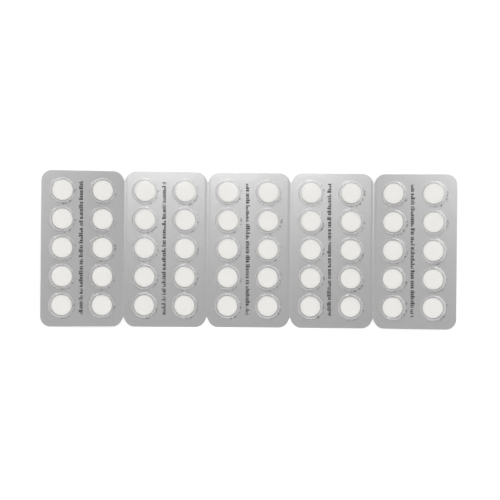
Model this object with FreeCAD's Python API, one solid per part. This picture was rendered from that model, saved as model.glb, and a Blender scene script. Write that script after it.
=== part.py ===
import FreeCAD, Part
import math
import os

# A strip of tablet cards: one web of clear formed film, sealed to one sheet of aluminium foil,
# with the tablets closed in between them and a perforated tear line from each card to the next.
# Millimetres. +X runs along the strip, +Y up the cards, and the pockets stand up in +Z.
# The origin is the middle of the foil's underside, where the middle card lies flat.

# Tablet: flat and round, with a bevel pressed round both faces
tablet_diameter = 10.0
tablet_thickness = 3.8
bevel_width = 1.1
bevel_height = 0.45

# Sheets: the film draws thinner where it is blown into a pocket
foil_thickness = 0.03
film_thickness = 0.25
pocket_wall = 0.18

# Pocket: room round and over the tablet, and the forming tool's draft and radii
side_room = 1.35
head_room = 0.4
draft_deg = 8.0
crown_radius = 1.0
root_radius = 0.4

# Card: pockets in rows and columns, and the flat sealed film that is left round them
cards = 5
columns = 2
rows = 5
seal_between_rows = 0.56
print_lane = 6.5
side_seal = 4.0
end_seal = 3.5

# Punched outline: every card's corners are rounded alike, and a notch parts them at each tear line
corner_radius = 5.2
notch_depth = 5.1
notch_deg = 50.0

# The punched outline sits a little off the formed pockets, by the same amount on every card
pockets_off_x = -0.65
pockets_off_y = 0.48

# Tear line: slits through both sheets with lands between them
slit_pitch = 2.7
slit_length = 1.5
slit_width = 0.2

# The strip has stayed slightly folded at its tear lines, so its ends stand clear of the table
inner_fold_deg = 2.5
outer_fold_deg = 9.5

# How far a punch passes through the sheets, clear on both sides
punch_reach = 1.0

# Edges closer than this are taken as one and the same
same_edge = 1e-4

# Pocket sizes that follow from the tablet, measured from the foil's top face
draft = math.tan(math.radians(draft_deg))
wall_across = pocket_wall / math.cos(math.radians(draft_deg))
inside_height = tablet_thickness + head_room
outside_height = inside_height + pocket_wall
inside_base_r = tablet_diameter / 2 + side_room
inside_top_r = inside_base_r - inside_height * draft
outside_base_r = inside_base_r - film_thickness * draft + wall_across
outside_top_r = inside_base_r - outside_height * draft + wall_across
footprint_r = outside_base_r + root_radius

# Card sizes that follow from the pockets
row_pitch = 2 * footprint_r + seal_between_rows
column_pitch = 2 * footprint_r + print_lane
card_width = (columns - 1) * column_pitch + 2 * footprint_r + 2 * side_seal
card_height = (rows - 1) * row_pitch + 2 * footprint_r + 2 * end_seal
corner_y = card_height / 2 - corner_radius
tear_y = card_height / 2 - notch_depth

up = FreeCAD.Vector(0, 0, 1)


def card_tilt(card):
    """The slope of a card along +X in degrees: level in the middle, steeper towards the ends."""
    from_middle = card - (cards - 1) / 2
    folds = inner_fold_deg * min(abs(from_middle), 1) + outer_fold_deg * max(abs(from_middle) - 1, 0)
    return math.copysign(folds, from_middle)


def tear_line_points():
    """(x, z) of the foil's underside at the strip's two ends and at each tear line."""
    points = [(0.0, 0.0)]
    for card in range(cards):
        slope = math.radians(card_tilt(card))
        x, z = points[-1]
        points.append((x + card_width * math.cos(slope), z + card_width * math.sin(slope)))
    middle_x = (points[0][0] + points[-1][0]) / 2
    lowest_z = min(z for x, z in points)
    return [(x - middle_x, z - lowest_z) for x, z in points]


def line_slopes(line):
    """The slopes in degrees of the cards left and right of a tear line, or of the end card twice."""
    return card_tilt(max(line - 1, 0)), card_tilt(min(line, cards - 1))


def offset_points(height):
    """The folded strip's line in XZ, at a height over the foil's underside, mitred at the folds."""
    points = []
    for line, (x, z) in enumerate(tear_line_points()):
        left, right = (math.radians(slope) for slope in line_slopes(line))
        middle = (left + right) / 2
        reach = height / math.cos((right - left) / 2)
        x -= reach * math.sin(middle)
        z += reach * math.cos(middle)
        points.append(FreeCAD.Vector(x, -card_height / 2, z))
    return points


def card_place(card, height=0.0):
    """The card's own frame: its middle, at a height over the foil's underside, X along the card."""
    points = tear_line_points()
    slope = math.radians(card_tilt(card))
    x = (points[card][0] + points[card + 1][0]) / 2 - height * math.sin(slope)
    z = (points[card][1] + points[card + 1][1]) / 2 + height * math.cos(slope)
    turn = FreeCAD.Rotation(FreeCAD.Vector(0, 1, 0), -card_tilt(card))
    return FreeCAD.Placement(FreeCAD.Vector(x, 0, z), turn)


def line_place(line):
    """A tear line's frame, on the foil's underside and square to both cards alike."""
    x, z = tear_line_points()[line]
    turn = FreeCAD.Rotation(FreeCAD.Vector(0, 1, 0), -sum(line_slopes(line)) / 2)
    return FreeCAD.Placement(FreeCAD.Vector(x, 0, z), turn)


def pocket_places(card, height):
    """(column, row, frame) of each pocket of a card, rows counted from the top."""
    for column in range(columns):
        for row in range(rows):
            x = (column - (columns - 1) / 2) * column_pitch + pockets_off_x
            y = ((rows - 1) / 2 - row) * row_pitch + pockets_off_y
            shift = FreeCAD.Placement(FreeCAD.Vector(x, y, 0), FreeCAD.Rotation())
            yield column, row, card_place(card, height).multiply(shift)


def placed(shape, place):
    moved = shape.copy()
    moved.Placement = place.multiply(shape.Placement)
    return moved


def spun(points):
    """The solid that a closed outline of (radius, z) corners sweeps round the Z axis."""
    corners = [FreeCAD.Vector(radius, 0, z) for radius, z in points]
    outline = Part.makePolygon(corners + corners[:1])
    return Part.Face(outline).revolve(FreeCAD.Vector(), up, 360)


def rim(shape, radius, z):
    """The round edge of a spun solid at that radius and height."""
    return [
        edge
        for edge in shape.Edges
        if isinstance(edge.Curve, Part.Circle)
        and abs(edge.Curve.Radius - radius) < same_edge
        and abs(edge.Curve.Center.z - z) < same_edge
    ]


def punch(edges):
    """The outline that these edges close in the sheets' plane, carried through both sheets."""
    outline = Part.Wire(Part.sortEdges(edges)[0])
    outline.translate(-punch_reach * up)
    return Part.Face(outline).extrude(2 * punch_reach * up)


def folded_sheet(underside, thickness):
    """One sheet of the strip before punching, folded at the tear lines."""
    corners = offset_points(underside) + offset_points(underside + thickness)[::-1]
    section = Part.Face(Part.makePolygon(corners + corners[:1]))
    return section.extrude(FreeCAD.Vector(0, card_height, 0))


def rounded(start, end, centre):
    """The short arc from start to end round that centre."""
    radius = (start - centre).Length
    between = (start - centre + end - centre).normalize()
    return Part.Arc(start, centre + radius * between, end).toShape()


def notch_side(side):
    """One side of a notch, x < 0 or x > 0: a straight flank up from its end slit, then a round."""
    lean = math.radians(notch_deg / 2)
    half = slit_width / 2
    top = card_height / 2
    corner_x = notch_depth * math.tan(lean)
    tangent = corner_radius * math.tan((math.pi / 2 - lean) / 2)
    foot = FreeCAD.Vector(side * half, tear_y - slit_length / 2, 0)
    meet = FreeCAD.Vector(side * half, tear_y + half / math.tan(lean), 0)
    bend_x = corner_x - tangent * math.sin(lean)
    bend = FreeCAD.Vector(side * bend_x, top - tangent * math.cos(lean), 0)
    edge = FreeCAD.Vector(side * (corner_x + tangent), top, 0)
    over = edge + FreeCAD.Vector(0, punch_reach, 0)
    arc = rounded(bend, edge, edge - FreeCAD.Vector(0, corner_radius, 0))
    return foot, Part.makePolygon([foot, meet, bend]).Edges + [arc, Part.makeLine(edge, over)], over


def notch_punch():
    """The waste between two cards' corners, down to the end slit of their tear line."""
    left_foot, left_edges, left_over = notch_side(-1)
    right_foot, right_edges, right_over = notch_side(1)
    ends = [Part.makeLine(left_foot, right_foot), Part.makeLine(left_over, right_over)]
    return punch(left_edges + right_edges + ends)


def end_punch():
    """The waste outside a rounded corner at the strip's end, where x > 0 is past the end."""
    side = FreeCAD.Vector(0, corner_y, 0)
    top = FreeCAD.Vector(-corner_radius, card_height / 2, 0)
    waste = Part.makePolygon(
        [
            side,
            FreeCAD.Vector(punch_reach, corner_y, 0),
            FreeCAD.Vector(punch_reach, card_height / 2 + punch_reach, 0),
            FreeCAD.Vector(-corner_radius, card_height / 2 + punch_reach, 0),
            top,
        ]
    )
    centre = FreeCAD.Vector(-corner_radius, corner_y, 0)
    return punch(waste.Edges + [rounded(side, top, centre)])


def slit_punches():
    """The slits of one tear line, apart from the two that its notches take in."""
    lands = max(round(2 * tear_y / slit_pitch), 2)
    slits = []
    for number in range(1, lands):
        y = -tear_y + number * 2 * tear_y / lands
        slit = Part.makeBox(slit_width, slit_length, 2 * punch_reach)
        slit.translate(FreeCAD.Vector(-slit_width / 2, y - slit_length / 2, -punch_reach))
        slits.append(slit)
    return slits


def punches():
    """Everything that is punched out of both sheets at once."""
    half_turn = FreeCAD.Placement(FreeCAD.Vector(), FreeCAD.Rotation(up, 180))
    roll_over = FreeCAD.Placement(FreeCAD.Vector(), FreeCAD.Rotation(FreeCAD.Vector(1, 0, 0), 180))
    notch = notch_punch()
    at_line = slit_punches() + [notch, placed(notch, half_turn)]
    corner = end_punch()
    at_end = [corner, placed(corner, roll_over)]
    tools = [placed(tool, line_place(line)) for line in range(1, cards) for tool in at_line]
    tools += [placed(tool, line_place(cards)) for tool in at_end]
    tools += [placed(tool, line_place(0).multiply(half_turn)) for tool in at_end]
    return tools


def formed_pocket():
    """A formed pocket with the round of web that it grows out of, on the film's underside."""
    pocket = spun(
        [
            (footprint_r, 0),
            (footprint_r, film_thickness),
            (outside_base_r, film_thickness),
            (outside_top_r, outside_height),
            (0, outside_height),
            (0, inside_height),
            (inside_top_r, inside_height),
            (inside_base_r, 0),
        ]
    )
    pocket = pocket.makeFillet(crown_radius, rim(pocket, outside_top_r, outside_height))
    pocket = pocket.makeFillet(crown_radius - pocket_wall, rim(pocket, inside_top_r, inside_height))
    return pocket.makeFillet(root_radius, rim(pocket, outside_base_r, film_thickness))


def blister_film():
    """The clear web: the punched sheet with a pocket let into it over every tablet."""
    web = folded_sheet(foil_thickness, film_thickness).cut(punches())
    blank = Part.makeCylinder(footprint_r, 2 * punch_reach, -punch_reach * up)
    places = [
        place for card in range(cards) for column, row, place in pocket_places(card, foil_thickness)
    ]
    web = web.cut([placed(blank, place) for place in places])
    pocket = formed_pocket()
    return web.fuse([placed(pocket, place) for place in places]).removeSplitter()


def lidding_foil():
    """The foil that closes every pocket from below and tears with the film."""
    return folded_sheet(0, foil_thickness).cut(punches())


def tablet():
    """One tablet, standing on z = 0."""
    edge = tablet_diameter / 2
    face = edge - bevel_width
    return spun(
        [
            (0, 0),
            (face, 0),
            (edge, bevel_height),
            (edge, tablet_thickness - bevel_height),
            (face, tablet_thickness),
            (0, tablet_thickness),
        ]
    )


def tablets():
    """Node name to solid: a tablet on the foil in the middle of every pocket."""
    one = tablet()
    sides = ["left", "right"]
    named = {}
    for card in range(cards):
        for column, row, place in pocket_places(card, foil_thickness):
            named[f"tablet_card{card + 1}_{sides[column]}_row{row + 1}"] = placed(one, place)
    return named


def main():
    nodes = {"lidding_foil": lidding_foil(), "blister_film": blister_film()}
    nodes.update(tablets())
    os.makedirs("parts", exist_ok=True)
    for name, shape in nodes.items():
        shape.exportStep(f"parts/{name}.step")
    print(f"{len(nodes)} pieces, cards {card_width:.2f} by {card_height:.2f} mm")
    for name in ("lidding_foil", "blister_film"):
        box = nodes[name].BoundBox
        size = f"{box.XLength:.2f} x {box.YLength:.2f} x {box.ZLength:.2f} mm"
        print(name, size, "solids", len(nodes[name].Solids))


main()
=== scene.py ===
import math

import bmesh
import bpy
import numpy as np
from mathutils import Matrix, Vector
from mathutils.geometry import delaunay_2d_cdt


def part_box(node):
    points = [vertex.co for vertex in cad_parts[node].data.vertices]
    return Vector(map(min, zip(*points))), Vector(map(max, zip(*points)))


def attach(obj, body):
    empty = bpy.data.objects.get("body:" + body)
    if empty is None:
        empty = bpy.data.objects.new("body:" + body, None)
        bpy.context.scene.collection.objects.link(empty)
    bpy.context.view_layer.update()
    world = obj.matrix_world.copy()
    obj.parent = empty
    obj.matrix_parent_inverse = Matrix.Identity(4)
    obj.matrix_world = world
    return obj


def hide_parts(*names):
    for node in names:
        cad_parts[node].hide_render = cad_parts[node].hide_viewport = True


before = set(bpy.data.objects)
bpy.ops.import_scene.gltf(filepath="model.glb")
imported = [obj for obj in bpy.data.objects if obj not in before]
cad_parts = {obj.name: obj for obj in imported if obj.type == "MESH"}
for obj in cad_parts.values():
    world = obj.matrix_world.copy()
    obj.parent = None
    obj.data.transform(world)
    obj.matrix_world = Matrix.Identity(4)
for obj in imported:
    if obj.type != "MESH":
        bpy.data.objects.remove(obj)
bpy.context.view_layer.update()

mm = 0.001
scene = bpy.context.scene
scene.view_settings.view_transform = "Standard"
print("frame loaded,", len(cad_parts), "nodes")


# The strip, read from the frame. A point of it is written (s, v, n): s runs along the strip as if it
# lay flat, v up the cards, and n is the height over the foil's underside.

strip = dict(
    cards=5,
    rows=5,
    sides=("left", "right"),
    foilThickness=0.03 * mm,
    filmThickness=0.25 * mm,
    cornerRadius=5.2 * mm,
    notchDepth=5.1 * mm,
    notchDeg=50,
    slitPitch=2.7 * mm,
    slitLength=1.5 * mm,
    slitWidth=0.05 * mm,  # a knife's cut, which closes again; the solids have to show it wider
    foldZone=0.9 * mm,  # each tear line bends over this much to both sides
    sealGap=0.012 * mm,  # drawn between sheets that really touch, so that their faces don't flicker
    outlineStep=0.35 * mm,
    lineSteps=20000,  # the bent line is summed over this many steps
    foldSteps=185,  # edges up each fold line
    ringSegments=48,
)


def boxMiddle(node):
    low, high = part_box(node)
    return (np.array(low) + np.array(high)) / 2


tabletNodes = [
    f"tablet_card{card}_{side}_row{row}"
    for card in range(1, strip["cards"] + 1)
    for side in strip["sides"]
    for row in range(1, strip["rows"] + 1)
]
tabletMiddles = np.array([boxMiddle(node) for node in tabletNodes])
tabletMiddles = tabletMiddles.reshape(strip["cards"], len(strip["sides"]), strip["rows"], 3)
across = (tabletMiddles[:, 1] - tabletMiddles[:, 0]).mean(axis=1)
cardSlopes = np.arctan2(across[:, 2], across[:, 0])
foilLow, foilHigh = (np.array(corner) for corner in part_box("lidding_foil"))
cardWidth = (foilHigh[0] - foilLow[0]) / np.cos(cardSlopes).sum()
cardHeight = foilHigh[1] - foilLow[1]
tearLines = (np.arange(strip["cards"] + 1) - strip["cards"] / 2) * cardWidth
tearV = cardHeight / 2 - strip["notchDepth"]


def stripLine():
    # The slope changes evenly across each tear line's fold zone. x and z are its cosine and sine summed
    # along s, and shifted so that the middle of the strip is the origin.
    s = np.linspace(tearLines[0], tearLines[-1], strip["lineSteps"] + 1)
    knots, slopes = [tearLines[0]], [cardSlopes[0]]
    for line in range(1, strip["cards"]):
        knots += [tearLines[line] - strip["foldZone"], tearLines[line] + strip["foldZone"]]
        slopes += [cardSlopes[line - 1], cardSlopes[line]]
    slope = np.interp(s, knots + [tearLines[-1]], slopes + [cardSlopes[-1]])
    step = np.gradient(s)
    x = np.cumsum(np.cos(slope) * step)
    z = np.cumsum(np.sin(slope) * step)
    middle = len(s) // 2
    return s, slope, x - x[middle], z - z[middle]


lineS, lineSlope, lineX, lineZ = stripLine()


def bent(points):
    # (s, v, n) to the strip's real place: along the line by s, then off it by n along its normal.
    s, v, n = points.T
    slope = np.interp(s, lineS, lineSlope)
    x = np.interp(s, lineS, lineX) - n * np.sin(slope)
    z = np.interp(s, lineS, lineZ) + n * np.cos(slope)
    return np.stack([x, v, z], axis=1)


def pocketCentres():
    # Each tablet's middle, put back into (s, v): its distance from its card's middle along the card.
    found = []
    for card in range(strip["cards"]):
        cardS = (tearLines[card] + tearLines[card + 1]) / 2
        middle = bent(np.array([[cardS, 0, 0]]))[0]
        along = np.array([math.cos(cardSlopes[card]), 0, math.sin(cardSlopes[card])])
        offsets = tabletMiddles[card].reshape(-1, 3) - middle
        found.append(np.stack([cardS + offsets @ along, offsets[:, 1]], axis=1))
    return np.concatenate(found)


pockets = pocketCentres()
tearX = bent(np.stack([tearLines, 0 * tearLines, 0 * tearLines], axis=1))[:, 0]
print("strip read:", f"cards {cardWidth / mm:.2f} x {cardHeight / mm:.2f} mm,", len(pockets), "pockets")


# Mesh and material tools


def newPiece(name, points, faces, materials, kinds=None, sharpDeg=30, weld=None, replaced=(),
             places=None):
    # A mesh from points and a list of face arrays. kinds numbers each face's material, and places is a
    # UV for every corner of every face.
    corners = np.concatenate([part.ravel() for part in faces])
    sizes = np.concatenate([np.full(len(part), part.shape[1]) for part in faces])
    mesh = bpy.data.meshes.new(name)
    mesh.vertices.add(len(points))
    mesh.vertices.foreach_set("co", points.astype(np.float32).ravel())
    mesh.loops.add(len(corners))
    mesh.loops.foreach_set("vertex_index", corners.astype(np.int32))
    mesh.polygons.add(len(sizes))
    mesh.polygons.foreach_set("loop_start", np.r_[0, np.cumsum(sizes)[:-1]].astype(np.int32))
    for material in materials:
        mesh.materials.append(material)
    if kinds is not None:
        mesh.polygons.foreach_set("material_index", kinds.astype(np.int32))
    if places is not None:
        layer = mesh.uv_layers.new(name="inPocket")
        layer.uv.foreach_set("vector", places.astype(np.float32).ravel())
    mesh.update(calc_edges=True)
    edit = bmesh.new()
    edit.from_mesh(mesh)
    if weld:
        bmesh.ops.remove_doubles(edit, verts=edit.verts, dist=weld)
    bmesh.ops.delete(edit, geom=[vert for vert in edit.verts if not vert.link_faces], context="VERTS")
    openEdges = sum(not edge.is_manifold for edge in edit.edges)
    edit.to_mesh(mesh)
    edit.free()
    mesh.shade_smooth()
    mesh.set_sharp_from_angle(angle=math.radians(sharpDeg))
    piece = bpy.data.objects.new(name, mesh)
    scene.collection.objects.link(piece)
    # A large face keeps its own normal beside a small round one, so flats stay flat in the light.
    flatFirst = piece.modifiers.new("flatFirst", "WEIGHTED_NORMAL")
    flatFirst.keep_sharp = True
    flatFirst.weight = 100
    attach(piece, "root")
    if replaced:
        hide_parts(*replaced)
    print(name, "made:", len(mesh.polygons), "faces,", openEdges, "open edges")
    return piece


def linear(hexColour):
    # sRGB hex to linear: below 0.04045 a straight line, above it a 2.4 power curve.
    parts = [int(hexColour[i:i + 2], 16) / 255 for i in (1, 3, 5)]
    return [c / 12.92 if c <= 0.04045 else ((c + 0.055) / 1.055) ** 2.4 for c in parts] + [1.0]


def newTree(block):
    # The empty node tree of a material or world.
    block.use_nodes = True
    block.node_tree.nodes.clear()
    return block.node_tree


def addNode(tree, kind, inputs=None, **settings):
    # One node: settings are its own properties, and each input is a value or another node's output.
    node = tree.nodes.new("ShaderNode" + kind)
    for name, value in settings.items():
        setattr(node, name, value)
    for name, value in (inputs or {}).items():
        if isinstance(value, bpy.types.NodeSocket):
            tree.links.new(value, node.inputs[name])
        else:
            node.inputs[name].default_value = value
    return node


# Flat outlines in (s, v), and the sheets that are cut to them


def arc(radius, startDeg):
    # A corner's round as (across, down) from where the two edges would meet: from an angle that its
    # first edge leaves off at, to the card's upper or lower edge.
    count = int(radius * math.radians(90 - startDeg) / strip["outlineStep"]) + 2
    angle = np.radians(np.linspace(startDeg, 90, count))
    return radius * np.stack([1 - np.cos(angle), 1 - np.sin(angle)], axis=1)


def notchSide():
    # One side of a notch as (across, down) from its tear line: up its end slit, then along a straight
    # flank, and round to the card's edge.
    lean, half = math.radians(strip["notchDeg"] / 2), strip["slitWidth"] / 2
    tangent = strip["cornerRadius"] * math.tan((math.pi / 2 - lean) / 2)
    edgeAcross = strip["notchDepth"] * math.tan(lean) + tangent
    slit = [
        [half, strip["notchDepth"] + strip["slitLength"] / 2],
        [half, strip["notchDepth"] - half / math.tan(lean)],
    ]
    turn = arc(strip["cornerRadius"], strip["notchDeg"] / 2) + [edgeAcross - strip["cornerRadius"], 0]
    return np.concatenate([slit, turn])


def stripOutline():
    # Along the lower edge from card to card, and back along the upper one, which is the lower one
    # turned half round the strip's middle.
    lower = []
    for card in range(strip["cards"]):
        first, last = card == 0, card == strip["cards"] - 1
        left = arc(strip["cornerRadius"], 0) if first else notchSide()
        right = arc(strip["cornerRadius"], 0) if last else notchSide()
        lower.append(left + [tearLines[card], -cardHeight / 2])
        lower.append(right[::-1] * [-1, 1] + [tearLines[card + 1], -cardHeight / 2])
    lower = np.concatenate(lower)
    return np.concatenate([lower, -lower])


def slitMiddles():
    # Slits lie evenly between the two notches of a tear line, and the notches take in the end ones.
    lands = round(2 * tearV / strip["slitPitch"])
    v = -tearV + np.arange(1, lands) * 2 * tearV / lands
    return np.stack(np.meshgrid(tearLines[1:-1], v, indexing="ij"), axis=2).reshape(-1, 2)


outline = stripOutline()
slits = slitMiddles()
slitReach = np.array([strip["slitWidth"] / 2, strip["slitLength"] / 2])


def insideOutline(points):
    # Even-odd rule: a point is inside if the line to its right crosses the outline an odd number of times.
    a, b = outline, np.roll(outline, -1, axis=0)
    s, v = points[:, :1], points[:, 1:]
    spans = (a[:, 1] > v) != (b[:, 1] > v)
    rise = np.where(b[:, 1] == a[:, 1], 1, b[:, 1] - a[:, 1])
    crossing = a[:, 0] + (v - a[:, 1]) / rise * (b[:, 0] - a[:, 0])
    return (spans & (s < crossing)).sum(axis=1) % 2 == 1


def insideSlit(points):
    return (np.abs(points[:, None] - slits[None]) < slitReach).all(axis=2).any(axis=1)


def nearestPocket(points):
    return np.linalg.norm(points[:, None] - pockets[None], axis=2).min(axis=1)


def inPocket(points, faces):
    # Where each face's corners lie from the middle of the pocket nearest to that face, in centimetres.
    found = []
    for part in faces:
        corners = points[part, :2]
        middles = corners.mean(axis=1)
        nearest = np.linalg.norm(middles[:, None] - pockets[None], axis=2).argmin(axis=1)
        found.append((corners - pockets[nearest][:, None]).reshape(-1, 2) / (10 * mm))
    return np.concatenate(found)


def circle(count):
    angle = np.arange(count) * 2 * math.pi / count
    return np.stack([np.cos(angle), np.sin(angle)], axis=1)


def cutSheet(rings):
    # Triangles of the flat strip inside its outline and outside its slits, with edges along the fold
    # zones and along a ring round each pocket for every radius in rings.
    ring = circle(strip["ringSegments"])
    corners = np.array([[-1, -1], [1, -1], [1, 1], [-1, 1]]) * slitReach
    loops = [outline] + [middle + corners for middle in slits]
    loops += [middle + radius * ring for radius in rings for middle in pockets]
    points, edges, count = [], [], 0
    for loop in loops:
        index = count + np.arange(len(loop))
        points.append(loop)
        edges.append(np.stack([index, np.roll(index, -1)], axis=1))
        count += len(loop)
    for line in tearLines[1:-1]:
        for shift in (-strip["foldZone"], 0, strip["foldZone"]):
            v = np.linspace(-cardHeight / 2, cardHeight / 2, strip["foldSteps"] + 1)
            index = count + np.arange(len(v))
            points.append(np.stack([np.full(len(v), line + shift), v], axis=1))
            edges.append(np.stack([index[:-1], index[1:]], axis=1))
            count += len(v)
    # In millimetres, and points that lie closer than this are one.
    flat, closest = np.concatenate(points) / mm, 1e-5
    vertices, _, triangles, *_ = delaunay_2d_cdt(
        list(map(Vector, flat.tolist())), np.concatenate(edges).tolist(), [], 0, closest
    )
    vertices = np.array([tuple(vertex) for vertex in vertices]) * mm
    triangles = np.array(triangles)
    middles = vertices[triangles].mean(axis=1)
    kept = insideOutline(middles) & ~insideSlit(middles)
    return vertices, triangles[kept], nearestPocket(middles[kept])


def cutEdges(vertices, triangles):
    # Edges with a triangle on one side only, apart from those round a pocket.
    edges = np.concatenate([triangles[:, [0, 1]], triangles[:, [1, 2]], triangles[:, [2, 0]]])
    width = triangles.max() + 1
    forward, backward = edges[:, 0] * width + edges[:, 1], edges[:, 1] * width + edges[:, 0]
    edges = edges[~np.isin(forward, backward)]
    return edges[nearestPocket(vertices[edges].mean(axis=1)) > pocket["footprintRadius"]]


def sheet(vertices, triangles, bottom, top):
    # The upper faces, the same turned over below, and a wall along every cut edge.
    count = len(vertices)
    upper = np.column_stack([vertices, np.full(count, top)])
    lower = np.column_stack([vertices, np.full(count, bottom)])
    a, b = cutEdges(vertices, triangles).T
    walls = np.stack([a + count, b + count, b, a], axis=1)
    return np.concatenate([upper, lower]), [triangles, triangles[:, ::-1] + count, walls]


# Profiles spun round the pockets' middles


def rounded(corners, radii, steps):
    # A path of (radius, height) corners with an arc at each inner one, tangent to both its sides.
    corners = np.array(corners, dtype=float)
    path = [corners[:1]]
    for before, corner, after, radius, count in zip(corners, corners[1:], corners[2:], radii, steps):
        inward = (before - corner) / np.linalg.norm(before - corner)
        onward = (after - corner) / np.linalg.norm(after - corner)
        halfTurn = math.acos(np.clip(inward @ onward, -1, 1)) / 2
        middle = (inward + onward) / np.linalg.norm(inward + onward)
        centre = corner + middle * radius / math.sin(halfTurn)
        start = corner + inward * radius / math.tan(halfTurn)
        end = corner + onward * radius / math.tan(halfTurn)
        sweep = math.pi - 2 * halfTurn
        t = np.linspace(0, 1, count)[:, None]
        blend = np.sin((1 - t) * sweep) * (start - centre) + np.sin(t * sweep) * (end - centre)
        path.append(centre + blend / math.sin(sweep))
    path.append(corners[-1:])
    return np.concatenate(path)


def spunAtPockets(path, flip):
    # The path spun round every pocket's middle, as rings of points with quads between them. Its last
    # point lies on the axis and closes the last ring by a fan. flip turns the faces over.
    segments, rings = strip["ringSegments"], len(path) - 1
    flat = path[:-1, 0, None, None] * circle(segments)
    height = np.broadcast_to(path[:-1, 1, None, None], (rings, segments, 1))
    one = np.concatenate([np.concatenate([flat, height], axis=2).reshape(-1, 3), [[0, 0, path[-1, 1]]]])
    places = np.column_stack([pockets, np.zeros(len(pockets))])
    points = (one[None] + places[:, None]).reshape(-1, 3)
    start = (np.arange(len(places)) * len(one))[:, None, None]
    here = np.arange(segments)
    onward = (here + 1) % segments
    ring = np.arange(rings - 1)[:, None] * segments
    quads = np.stack([ring + here, ring + onward, ring + segments + onward, ring + segments + here], axis=2)
    last = (rings - 1) * segments
    fan = np.stack([last + here, last + onward, np.full(segments, rings * segments)], axis=1)
    step = -1 if flip else 1
    quads = quads.reshape(-1, 4)[:, ::step] + start
    return points, [quads.reshape(-1, 4), (fan[:, ::step] + start).reshape(-1, 3)]


def joined(parts):
    # Several (points, faces) pairs as one.
    points, faces, count = [], [], 0
    for somePoints, someFaces in parts:
        points.append(somePoints)
        faces += [face + count for face in someFaces]
        count += len(somePoints)
    return np.concatenate(points), faces


# Materials


def creased(tree, place):
    # The perforating knife presses a shallow crease along each tear line, the same in both sheets. The
    # distance from the nearest one is | | |x| - a | - b |, where a lies midway between two of them on
    # one side and b is half their spacing.
    crease = dict(reach=1.9 * mm, depth=0.055 * mm)
    x = addNode(tree, "SeparateXYZ", {0: place}).outputs["X"]
    far = addNode(tree, "Math", {0: x}, operation="ABSOLUTE").outputs[0]
    for shift in ((tearX[3] + tearX[4]) / 2, (tearX[4] - tearX[3]) / 2):
        less = addNode(tree, "Math", {0: far, 1: shift}, operation="SUBTRACT").outputs[0]
        far = addNode(tree, "Math", {0: less}, operation="ABSOLUTE").outputs[0]
    height = addNode(
        tree, "MapRange", {"Value": far, "From Max": crease["reach"]}, interpolation_type="SMOOTHERSTEP"
    ).outputs[0]
    bump = addNode(tree, "Bump", {"Height": height, "Strength": 1.0, "Distance": crease["depth"]})
    return bump.outputs["Normal"]


def filmMaterial(name, rippleWidth, rippleDepth, milk):
    # Rigid PVC film, calendered and then blown into its pockets: clear and glossy, with the faint
    # unevenness of a sheet that was drawn thin. Thin walls don't bend what is seen through them, so each
    # face is see-through with a mirror over it, by Schlick's rule: F0 + edge (1 - cos)^5, with less at the
    # edge than a flat face has, because the sheet isn't so even. milk is how much whiter it gets where it
    # is seen edge on, milk (1 - cos)^3.
    material = bpy.data.materials.new(name)
    tree = newTree(material)
    look = dict(clear="#FDFDFD", milk="#FFFFFF", ior=1.53, edge=0.45, roughness=0.1, haze=0.012)
    f0 = ((look["ior"] - 1) / (look["ior"] + 1)) ** 2
    place = addNode(tree, "TexCoord").outputs["Object"]
    ripple = addNode(tree, "TexNoise", {"Vector": place, "Scale": 1 / rippleWidth, "Detail": 1.5})
    crease = creased(tree, place)
    normal = addNode(
        tree,
        "Bump",
        {"Height": ripple.outputs["Fac"], "Strength": 1.0, "Distance": rippleDepth, "Normal": crease},
    ).outputs["Normal"]
    facing = addNode(tree, "LayerWeight", {"Blend": 0.5, "Normal": normal}).outputs["Facing"]
    fifth = addNode(tree, "Math", {0: facing, 1: 5.0}, operation="POWER").outputs[0]
    mirror = addNode(tree, "Math", {0: fifth, 1: look["edge"], 2: f0}, operation="MULTIPLY_ADD").outputs[0]
    clear = addNode(tree, "BsdfTransparent", {"Color": linear(look["clear"])}).outputs[0]
    milky = addNode(tree, "BsdfDiffuse", {"Color": linear(look["milk"])}).outputs[0]
    third = addNode(tree, "Math", {0: facing, 1: 3.0}, operation="POWER").outputs[0]
    white = addNode(tree, "Math", {0: third, 1: milk, 2: look["haze"]}, operation="MULTIPLY_ADD").outputs[0]
    through = addNode(tree, "MixShader", {0: white, 1: clear, 2: milky}).outputs[0]
    gloss = addNode(tree, "BsdfAnisotropic", {"Roughness": look["roughness"], "Normal": normal}).outputs[0]
    mixed = addNode(tree, "MixShader", {0: mirror, 1: through, 2: gloss}).outputs[0]
    addNode(tree, "OutputMaterial", {"Surface": mixed})
    return material


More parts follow.
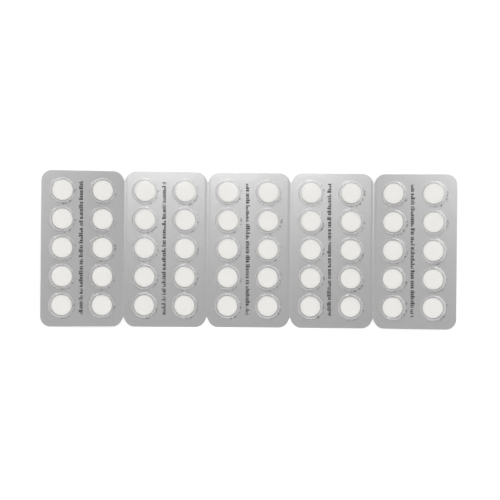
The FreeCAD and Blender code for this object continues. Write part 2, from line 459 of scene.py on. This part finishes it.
def paintedShadeSpots(tree, place):
    # How much painted shade a spot of the foil gets: dark ticks painted round each pocket's foot, most of
    # all to the lower right, which stand for the shade and the dark reflections in the foil's creases
    # there. One ramp goes up and down again over a ring, 1 - | r - middle | / half width, one grows along a
    # direction from the pocket's middle, and the last cuts the darkest spots out of a noise.
    look = dict(
        radius=6.8 * mm,
        half=0.9 * mm,
        grain=1.15 * mm,
        sparse=0.53,
        dense=0.6,
        toward=(0.83, -0.55, 0),
        fewestAt=-1.0 * mm,
        mostAt=6.0 * mm,
        fewest=0.62,
    )
    spot = addNode(tree, "UVMap", uv_map="inPocket").outputs[0]
    cm = 10 * mm
    radius = addNode(tree, "VectorMath", {0: spot}, operation="LENGTH").outputs["Value"]
    off = addNode(tree, "Math", {0: radius, 1: look["radius"] / cm}, operation="SUBTRACT").outputs[0]
    off = addNode(tree, "Math", {0: off}, operation="ABSOLUTE").outputs[0]
    ring = addNode(
        tree, "MapRange", {"Value": off, "From Max": look["half"] / cm, "To Min": 1.0, "To Max": 0.0}
    ).outputs[0]
    along = addNode(
        tree, "VectorMath", {0: spot, 1: look["toward"]}, operation="DOT_PRODUCT"
    ).outputs["Value"]
    side = addNode(
        tree,
        "MapRange",
        {
            "Value": along,
            "From Min": look["fewestAt"] / cm,
            "From Max": look["mostAt"] / cm,
            "To Min": look["fewest"],
            "To Max": 1.0,
        },
    ).outputs[0]
    grain = addNode(tree, "TexNoise", {"Vector": place, "Scale": 1 / look["grain"], "Detail": 2.0})
    share = addNode(tree, "Math", {0: grain.outputs["Fac"], 1: side}, operation="MULTIPLY").outputs[0]
    dark = addNode(
        tree, "MapRange", {"Value": share, "From Min": look["sparse"], "From Max": look["dense"]}
    ).outputs[0]
    return addNode(tree, "Math", {0: dark, 1: ring}, operation="MULTIPLY").outputs[0]


def foilMaterial(name, knurl):
    # Hard aluminium lidding foil, rolled to a satin side. The heated sealing plate presses a fine diamond
    # knurl into it wherever it is sealed; over the tablets it stays smooth and only a little slack.
    material = bpy.data.materials.new(name)
    tree = newTree(material)
    look = dict(
        colour="#CFCFCF",
        # the colour of the painted shade in the creases round each pocket's foot
        paintedShadeColour="#68696B",
        roughness=0.3,
        knurlPitch=0.8 * mm,  # really about 0.6 mm, drawn coarser so that it shows
        knurlDepth=0.002 * mm,
        slackWidth=9 * mm,
        slackDepth=0.03 * mm,
        wearWidth=2.5 * mm,
        wearSpread=0.02,  # of the roughness, up and down
    )
    place = addNode(tree, "TexCoord").outputs["Object"]
    slack = addNode(tree, "TexNoise", {"Vector": place, "Scale": 1 / look["slackWidth"], "Detail": 2.0})
    normal = addNode(
        tree,
        "Bump",
        {
            "Height": slack.outputs["Fac"],
            "Strength": 1.0,
            "Distance": look["slackDepth"],
            "Normal": creased(tree, place),
        },
    ).outputs["Normal"]
    if knurl:
        # Two waves that cross at right angles, sin(x) sin(y), on axes turned by 45 degrees.
        turn = 2 * math.pi / look["knurlPitch"]
        turned = addNode(
            tree, "Mapping", {"Vector": place, "Rotation": (0, 0, math.pi / 4), "Scale": (turn, turn, 0)}
        ).outputs[0]
        waves = addNode(tree, "VectorMath", {0: turned}, operation="SINE").outputs[0]
        split = addNode(tree, "SeparateXYZ", {0: waves})
        diamonds = addNode(
            tree, "Math", {0: split.outputs["X"], 1: split.outputs["Y"]}, operation="MULTIPLY"
        ).outputs[0]
        normal = addNode(
            tree,
            "Bump",
            {"Height": diamonds, "Strength": 1.0, "Distance": look["knurlDepth"], "Normal": normal},
        ).outputs["Normal"]
    wear = addNode(tree, "TexNoise", {"Vector": place, "Scale": 1 / look["wearWidth"], "Detail": 4.0})
    rough = addNode(
        tree,
        "MapRange",
        {
            "Value": wear.outputs["Fac"],
            "To Min": look["roughness"] - look["wearSpread"],
            "To Max": look["roughness"] + look["wearSpread"],
        },
    ).outputs[0]
    # The foil's colour goes over to painted shade in the ticks round each pocket's foot.
    colour = addNode(
        tree,
        "Mix",
        {0: paintedShadeSpots(tree, place), 6: linear(look["colour"]), 7: linear(look["paintedShadeColour"])},
        data_type="RGBA",
    ).outputs[2]
    metal = addNode(
        tree,
        "BsdfPrincipled",
        {"Base Color": colour, "Metallic": 1.0, "Roughness": rough, "Normal": normal},
    )
    addNode(tree, "OutputMaterial", {"Surface": metal.outputs[0]})
    return material


def tabletMaterial():
    # Uncoated tablet, powder pressed between two punches: a chalky white with a fine grain and hardly any
    # gloss, a touch warmer than the film over it.
    material = bpy.data.materials.new("pressedPowderTablet")
    tree = newTree(material)
    look = dict(
        light="#F7F5F2",
        dark="#F2F0EC",
        cloud=6 * mm,
        roughness=0.62,
        gloss=0.35,
        grain=0.25 * mm,
        grainDepth=0.006 * mm,
    )
    place = addNode(tree, "TexCoord").outputs["Object"]
    powder = addNode(tree, "TexNoise", {"Vector": place, "Scale": 1 / look["grain"], "Detail": 3.0})
    cloud = addNode(tree, "TexNoise", {"Vector": place, "Scale": 1 / look["cloud"], "Detail": 2.0})
    colour = addNode(
        tree,
        "Mix",
        {0: cloud.outputs["Fac"], 6: linear(look["light"]), 7: linear(look["dark"])},
        data_type="RGBA",
    ).outputs[2]
    bump = addNode(
        tree, "Bump", {"Height": powder.outputs["Fac"], "Strength": 1.0, "Distance": look["grainDepth"]}
    )
    body = addNode(
        tree,
        "BsdfPrincipled",
        {
            "Base Color": colour,
            "Roughness": look["roughness"],
            "Specular IOR Level": look["gloss"],
            "Normal": bump.outputs["Normal"],
        },
    )
    addNode(tree, "OutputMaterial", {"Surface": body.outputs[0]})
    return material


def inkMaterial():
    # Black printing ink, rolled thinly onto the foil: dull, and a little uneven where it lies over the
    # metal.
    material = bpy.data.materials.new("blackPrintingInk")
    tree = newTree(material)
    look = dict(full="#0C0C0E", thin="#18181A", cover=0.8 * mm, roughness=0.55)
    place = addNode(tree, "TexCoord").outputs["Object"]
    cover = addNode(tree, "TexNoise", {"Vector": place, "Scale": 1 / look["cover"], "Detail": 2.0})
    colour = addNode(
        tree,
        "Mix",
        {0: cover.outputs["Fac"], 6: linear(look["full"]), 7: linear(look["thin"])},
        data_type="RGBA",
    ).outputs[2]
    ink = addNode(tree, "BsdfPrincipled", {"Base Color": colour, "Roughness": look["roughness"]})
    addNode(tree, "OutputMaterial", {"Surface": ink.outputs[0]})
    return material


# The sheets

# Radii and heights of a pocket over the foil's upper face, from the tablet's size and the room round it.
tabletLow, tabletHigh = (np.array(corner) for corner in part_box("tablet_card3_left_row1"))
tabletSize = tabletHigh - tabletLow
pocket = dict(
    sideRoom=1.35 * mm,
    headRoom=0.4 * mm,
    wall=0.18 * mm,
    draftDeg=8.0,
    crownRadius=1.0 * mm,
    rootRadius=0.4 * mm,
    insideRootRadius=0.12 * mm,
)
draft = math.tan(math.radians(pocket["draftDeg"]))
wallAcross = pocket["wall"] / math.cos(math.radians(pocket["draftDeg"]))
pocket["insideHeight"] = tabletSize[2] + pocket["headRoom"]
pocket["outsideHeight"] = pocket["insideHeight"] + pocket["wall"]
pocket["insideBase"] = tabletSize[1] / 2 + pocket["sideRoom"]
pocket["insideTop"] = pocket["insideBase"] - pocket["insideHeight"] * draft
pocket["outsideBase"] = pocket["insideBase"] - strip["filmThickness"] * draft + wallAcross
pocket["outsideTop"] = pocket["insideBase"] - pocket["outsideHeight"] * draft + wallAcross
pocket["footprintRadius"] = pocket["outsideBase"] + pocket["rootRadius"]
foilTop = strip["foilThickness"]

vertices, triangles, fromPocket = cutSheet([pocket["footprintRadius"], pocket["insideBase"]])
print("strip cut:", len(triangles), "triangles to a side")


def makeFilm():
    outside = rounded(
        [
            (pocket["footprintRadius"], strip["filmThickness"]),
            (pocket["outsideBase"], strip["filmThickness"]),
            (pocket["outsideTop"], pocket["outsideHeight"]),
            (0, pocket["outsideHeight"]),
        ],
        radii=[pocket["rootRadius"], pocket["crownRadius"]],
        steps=[5, 9],
    )
    inside = rounded(
        [
            (pocket["footprintRadius"], strip["sealGap"]),
            (pocket["insideBase"], strip["sealGap"]),
            (pocket["insideTop"], pocket["insideHeight"]),
            (0, pocket["insideHeight"]),
        ],
        radii=[pocket["insideRootRadius"], pocket["crownRadius"] - pocket["wall"]],
        steps=[3, 7],
    )
    web = triangles[fromPocket > pocket["footprintRadius"]]
    points, faces = joined([
        sheet(vertices, web, strip["sealGap"], strip["filmThickness"]),
        spunAtPockets(outside, flip=False),
        spunAtPockets(inside, flip=True),
    ])
    points[:, 2] += foilTop
    # A pocket's wall and its rounds are drawn. Its top and the web, which is the first three parts of
    # the faces, stay as smooth as the sheet was.
    top, webParts = pocket["insideTop"] - pocket["crownRadius"], 3
    kinds = np.concatenate([
        (number >= webParts) & (nearestPocket(points[part, :2].mean(axis=1)) > top)
        for number, part in enumerate(faces)
    ])
    flat = filmMaterial("clearPvcFilmSealed", rippleWidth=9 * mm, rippleDepth=0.03 * mm, milk=0)
    drawn = filmMaterial("clearPvcFilmDrawn", rippleWidth=2.6 * mm, rippleDepth=0.02 * mm, milk=0.6)
    return newPiece("blister_film_formed", bent(points), faces, [flat, drawn], kinds=kinds, sharpDeg=40,
                    weld=0.001 * mm, replaced=["blister_film"])


def makeFoil():
    points, faces = sheet(vertices, triangles, 0, foilTop)
    smooth = fromPocket < pocket["insideBase"]
    kinds = np.concatenate([smooth, smooth, np.zeros(len(faces[2]))])
    knurled = foilMaterial("satinAluminiumFoilKnurled", knurl=True)
    plain = foilMaterial("satinAluminiumFoilPlain", knurl=False)
    newPiece("lidding_foil_sealed", bent(points), faces, [knurled, plain], kinds=kinds,
             replaced=["lidding_foil"], places=inPocket(points, faces))


def makeTablets():
    tablet = dict(bevelWidth=1.1 * mm, bevelHeight=0.45 * mm, faceRound=0.5 * mm, edgeRound=0.12 * mm)
    radius, height = tabletSize[1] / 2, tabletSize[2]
    flat = radius - tablet["bevelWidth"]
    half = rounded(
        [
            (radius, height / 2),
            (radius, height - tablet["bevelHeight"]),
            (flat, height),
            (0, height),
        ],
        radii=[tablet["edgeRound"], tablet["faceRound"]],
        steps=[4, 4],
    )
    mirrored = np.stack([half[:, 0], height - half[:, 1]], axis=1)
    points, faces = joined([spunAtPockets(half, flip=False), spunAtPockets(mirrored, flip=True)])
    points[:, 2] += foilTop
    return newPiece("pressed_tablets", bent(points), faces, [tabletMaterial()], weld=0.001 * mm,
                    replaced=tabletNodes)


def makeMarks():
    # One line of generic marks up each card, in the lane between its two columns: upright strokes of
    # several widths and heights in groups, which stand for a line of print and spell nothing.
    mark = dict(
        seed=11,
        length=67.4 * mm,
        height=2.05 * mm,
        strokes=120,  # more than fit
        widths=(0.38, 0.55, 0.75, 0.95),  # mm
        shares=(1.0, 0.76, 0.76, 0.76, 0.5),  # of the height
        gap=0.25 * mm,
        space=0.62 * mm,
        groups=60,
        inGroup=(3, 12),
        turnDeg=0.35,
        downward=(2, 4),
        aside=(-0.25, -0.35, 0.1, -0.75, -0.45),  # mm from the middle of each card's lane
        lift=0.001 * mm,
        ink=0.005 * mm,
    )
    rng = np.random.default_rng(mark["seed"])
    lanes = pockets.reshape(strip["cards"], -1, 2).mean(axis=1)
    boxes = []
    for card in range(strip["cards"]):
        widths = rng.choice(mark["widths"], size=mark["strokes"]) * mm
        gaps = np.full(len(widths), mark["gap"])
        least, most = mark["inGroup"]
        ends = np.cumsum(rng.integers(least, most + 1, size=mark["groups"]))
        gaps[ends[ends < len(gaps)]] += mark["space"]
        start = np.r_[0, np.cumsum(widths + gaps)[:-1]]
        inside = start + widths < mark["length"]
        start, widths = start[inside], widths[inside]
        along = start - (start[-1] + widths[-1]) / 2
        share = rng.choice(mark["shares"], size=len(along))
        low = np.full(len(along), -mark["height"] / 2)
        high = low + share * mark["height"]
        way = -1 if card in mark["downward"] else 1
        corners = np.stack([
            np.stack([-low, along], axis=1),
            np.stack([-high, along], axis=1),
            np.stack([-high, along + widths], axis=1),
            np.stack([-low, along + widths], axis=1),
        ], axis=1) * way
        turn = math.radians(mark["turnDeg"])
        turned = np.stack([
            corners[..., 0] * math.cos(turn) - corners[..., 1] * math.sin(turn),
            corners[..., 0] * math.sin(turn) + corners[..., 1] * math.cos(turn),
        ], axis=2)
        middle = lanes[card] + [mark["aside"][card] * mm, 0]
        boxes.append((turned + middle).reshape(-1, 2))
    flat = np.concatenate(boxes)
    bottom = np.column_stack([flat, np.full(len(flat), foilTop + mark["lift"])])
    top = bottom + [0, 0, mark["ink"]]
    points = np.concatenate([bottom, top])
    first = np.arange(0, len(flat), 4)
    count = len(flat)
    a, b, c, d = (first + corner for corner in range(4))
    faces = [np.stack([d, c, b, a], axis=1), np.stack([a, b, c, d], axis=1) + count]
    faces += [np.stack([p, q, q + count, p + count], axis=1) for p, q in ((a, b), (b, c), (c, d), (d, a))]
    newPiece("printed_marks", bent(points), faces, [inkMaterial()])


film = makeFilm()
makeFoil()
tablets = makeTablets()
makeMarks()


# Floor, daylight, lamps and camera

stage = dict(
    floorSize=4.0,
    floorDrop=0.03 * mm,
    table="#E6E6E6",
    shadowShare=0.85,  # how much of the floor's seen white takes shade
    ownWhite=0.4,
    zenith=0.535,
    horizon=1.15,
    hazeTop=0.4,  # up to this height the sky is as bright as at the horizon; 1 is overhead
)


def showsBackground(tree):
    # 1 for rays that see the background: from the camera, from a mirror or through something clear.
    path = addNode(tree, "LightPath").outputs
    shown = path["Is Camera Ray"]
    for ray in ("Is Glossy Ray", "Is Transmission Ray"):
        shown = addNode(tree, "Math", {0: shown, 1: path[ray]}, operation="MAXIMUM").outputs[0]
    return shown


def makeFloor():
    # A plain white table. What is seen of it is nearly all its own white, so only a faint shadow shows.
    half = stage["floorSize"] / 2
    corners = [(-half, -half), (half, -half), (half, half), (-half, half)]
    mesh = bpy.data.meshes.new("floor")
    mesh.from_pydata([(x, y, -stage["floorDrop"]) for x, y in corners], [], [(0, 1, 2, 3)])
    material = bpy.data.materials.new("whiteTable")
    tree = newTree(material)
    matte = addNode(tree, "BsdfDiffuse", {"Color": linear(stage["table"])}).outputs[0]
    shade = addNode(tree, "BsdfDiffuse", {"Color": (stage["shadowShare"],) * 3 + (1,)}).outputs[0]
    white = addNode(tree, "Emission", {"Color": (1, 1, 1, 1), "Strength": stage["ownWhite"]}).outputs[0]
    seen = addNode(tree, "AddShader", {0: shade, 1: white}).outputs[0]
    mixed = addNode(tree, "MixShader", {0: showsBackground(tree), 1: matte, 2: seen}).outputs[0]
    addNode(tree, "OutputMaterial", {"Surface": mixed})
    mesh.materials.append(material)
    floor = bpy.data.objects.new("floor", mesh)
    scene.collection.objects.link(floor)


def makeWorld():
    # An overcast studio: white at the horizon and down to the floor, and darker straight overhead.
    world = bpy.data.worlds.new("studio")
    tree = newTree(world)
    direction = addNode(tree, "TexCoord").outputs["Generated"]
    height = addNode(tree, "SeparateXYZ", {0: direction}).outputs["Z"]
    level = addNode(
        tree,
        "MapRange",
        {
            "Value": height,
            "From Min": stage["hazeTop"],
            "From Max": 1.0,
            "To Min": stage["horizon"],
            "To Max": stage["zenith"],
        },
    ).outputs[0]
    sky = addNode(tree, "Background", {"Color": (1, 1, 1, 1), "Strength": level}).outputs[0]
    addNode(tree, "OutputWorld", {"Surface": sky})
    scene.world = world


def addLamp(name, place, size, brightness, target, only=None):
    # A rectangular lamp at a place in metres, turned to its target. A lamp's power is its brightness
    # times pi times its area. only is the one piece that it lights.
    data = bpy.data.lights.new(name, "AREA")
    data.shape = "RECTANGLE"
    data.size, data.size_y = size
    data.energy = brightness * math.pi * size[0] * size[1]
    lamp = bpy.data.objects.new(name, data)
    lamp.location = place
    lamp.rotation_euler = (Vector(target) - Vector(place)).to_track_quat("-Z", "Y").to_euler()
    scene.collection.objects.link(lamp)
    if only:
        lit = bpy.data.collections.new(name + "Lights")
        lit.objects.link(only)
        lamp.light_linking.receiver_collection = lit


def makeCamera():
    # Straight over the strip and a little to its left, as far away as the photograph was taken from. The
    # strip's outline and the tablets' spacing gave the distance.
    view = dict(place=(-33 * mm, 0, 899 * mm), aim=(0.56 * mm, 0.1 * mm, 0), field=253.4 * mm, rollDeg=0.54)
    place, aim = Vector(view["place"]), Vector(view["aim"])
    data = bpy.data.cameras.new("camera")
    data.lens = data.sensor_width * (place - aim).length / view["field"]
    camera = bpy.data.objects.new("camera", data)
    forward = (aim - place).normalized()
    right = forward.cross(Vector((0, 1, 0))).normalized()
    up = right.cross(forward)
    turn = Matrix((right, up, -forward)).transposed().to_4x4()
    roll = Matrix.Rotation(math.radians(view["rollDeg"]), 4, "Z")
    camera.matrix_world = Matrix.Translation(place) @ turn @ roll
    scene.collection.objects.link(camera)
    scene.camera = camera


makeFloor()
makeWorld()
addLamp("softbox", place=(-0.005, 0.1735, 0.615), size=(0.091, 0.195), brightness=5.5,
        target=(-0.005, 0.1735, 0))
# The rim lamp lights the film's rounds alone, so that the tablets under them stay evenly lit, and the
# overhead lamp lights the tablets alone, because the foil would mirror it.
addLamp("rimLamp", place=(0.5, 0.5, 0.36), size=(0.5, 0.26), brightness=3.8, target=(0, 0, 0), only=film)
addLamp("overhead", place=(0, 0, 1.2), size=(0.6, 0.6), brightness=2.3, target=(0, 0, 0), only=tablets)
makeCamera()
print("stage set")
